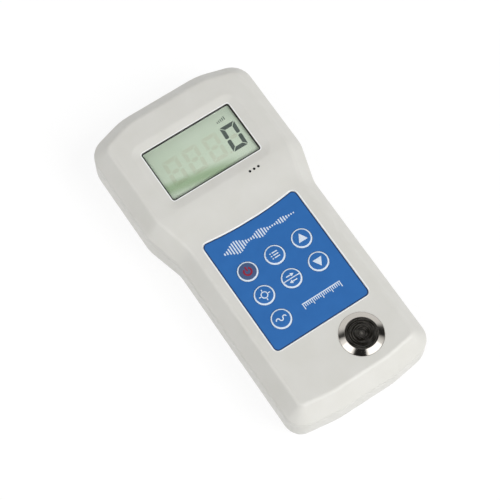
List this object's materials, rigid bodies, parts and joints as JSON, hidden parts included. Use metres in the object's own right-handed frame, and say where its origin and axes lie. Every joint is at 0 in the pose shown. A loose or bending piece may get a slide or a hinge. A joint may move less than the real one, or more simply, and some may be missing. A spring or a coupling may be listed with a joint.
{
  "type": "ultrasonic thickness gauge",
  "caption": "Handheld gauge with a wide head round a display, a blue keypad film on the grip, a round steel test block and a sliding battery door on the back.",
  "frame": {"origin": "middle of the back, on the surface the gauge lies on", "axes": "+X to the right across the face, +Y to the display end, +Z out of the face"},
  "size_m": [0.0654, 0.1324, 0.0276],
  "materials": {
    "case_plastic": "fine matt texture",
    "window_acrylic": "polished",
    "frame_plastic": "satin",
    "display_glass": "polished",
    "strip_rubber": "matt",
    "board_laminate": "satin",
    "film_polyester": "fine matt print",
    "turned_steel": "turned and polished",
    "black_plastic": "moulded",
    "nickel_plate": "plated",
    "white_insulator": "machined",
    "gold_contact": "plated",
    "lead_sleeve": "extruded",
    "cell_jacket": "printed sleeve",
    "spring_steel": "drawn wire",
    "zinc_steel": "zinc plated",
    "ferrite": "sintered",
    "capacitor_sleeve": "shrunk sleeve"
  },
  "bodies": {
    "case": {"front_shell": "case_plastic", "back_shell": "case_plastic", "display_window": "window_acrylic", "display_frame": "frame_plastic", "lcd_panel": "display_glass", "contact_strip_upper": "strip_rubber", "contact_strip_lower": "strip_rubber", "main_board": "board_laminate", "keypad_film": "film_polyester", "test_block": "turned_steel", "buzzer": "black_plastic", "switch_power": "black_plastic", "switch_code": "black_plastic", "switch_up": "black_plastic", "switch_calibrate": "black_plastic", "switch_unit": "black_plastic", "switch_down": "black_plastic", "switch_velocity": "black_plastic", "battery_cell_1": "cell_jacket", "battery_cell_2": "cell_jacket", "battery_cell_3": "cell_jacket", "battery_cell_4": "cell_jacket", "coil_contact_1": "spring_steel", "coil_contact_2": "spring_steel", "coil_contact_3": "spring_steel", "coil_contact_4": "spring_steel", "contact_plate_1": "nickel_plate", "contact_plate_2": "nickel_plate", "contact_plate_3": "nickel_plate", "contact_plate_4": "nickel_plate", "contact_plate_5": "nickel_plate", "probe_socket_right": "nickel_plate", "probe_socket_left": "nickel_plate", "socket_insulator_right": "white_insulator", "socket_insulator_left": "white_insulator", "socket_pin_right": "gold_contact", "socket_pin_left": "gold_contact", "probe_lead_right": "lead_sleeve", "probe_lead_left": "lead_sleeve", "socket_nuts": "nickel_plate", "case_screws": "zinc_steel", "board_screws": "zinc_steel", "controller_chip": "black_plastic", "clock_crystal": "nickel_plate", "pulse_transformer": "ferrite", "reservoir_capacitor": "capacitor_sleeve"},
    "key_power": {"key_power": "film_polyester"},
    "key_code": {"key_code": "film_polyester"},
    "key_up": {"key_up": "film_polyester"},
    "key_calibrate": {"key_calibrate": "film_polyester"},
    "key_unit": {"key_unit": "film_polyester"},
    "key_down": {"key_down": "film_polyester"},
    "key_velocity": {"key_velocity": "film_polyester"},
    "battery_door": {"battery_door": "case_plastic"}
  },
  "joints": [
    {"name": "press_power", "type": "slide", "parent": "case", "child": "key_power", "axis": [0, 0, -1], "range_m": [0, 0.0004], "stiffness_N_per_m": 4000, "springref_m": -0.0001},
    {"name": "press_code", "type": "slide", "parent": "case", "child": "key_code", "axis": [0, 0, -1], "range_m": [0, 0.0004], "stiffness_N_per_m": 4000, "springref_m": -0.0001},
    {"name": "press_up", "type": "slide", "parent": "case", "child": "key_up", "axis": [0, 0, -1], "range_m": [0, 0.0004], "stiffness_N_per_m": 4000, "springref_m": -0.0001},
    {"name": "press_calibrate", "type": "slide", "parent": "case", "child": "key_calibrate", "axis": [0, 0, -1], "range_m": [0, 0.0004], "stiffness_N_per_m": 4000, "springref_m": -0.0001},
    {"name": "press_unit", "type": "slide", "parent": "case", "child": "key_unit", "axis": [0, 0, -1], "range_m": [0, 0.0004], "stiffness_N_per_m": 4000, "springref_m": -0.0001},
    {"name": "press_down", "type": "slide", "parent": "case", "child": "key_down", "axis": [0, 0, -1], "range_m": [0, 0.0004], "stiffness_N_per_m": 4000, "springref_m": -0.0001},
    {"name": "press_velocity", "type": "slide", "parent": "case", "child": "key_velocity", "axis": [0, 0, -1], "range_m": [0, 0.0004], "stiffness_N_per_m": 4000, "springref_m": -0.0001},
    {"name": "slide_battery_door", "type": "slide", "parent": "case", "child": "battery_door", "axis": [0, -1, 0], "range_m": [0, 0.05]}
  ]
}
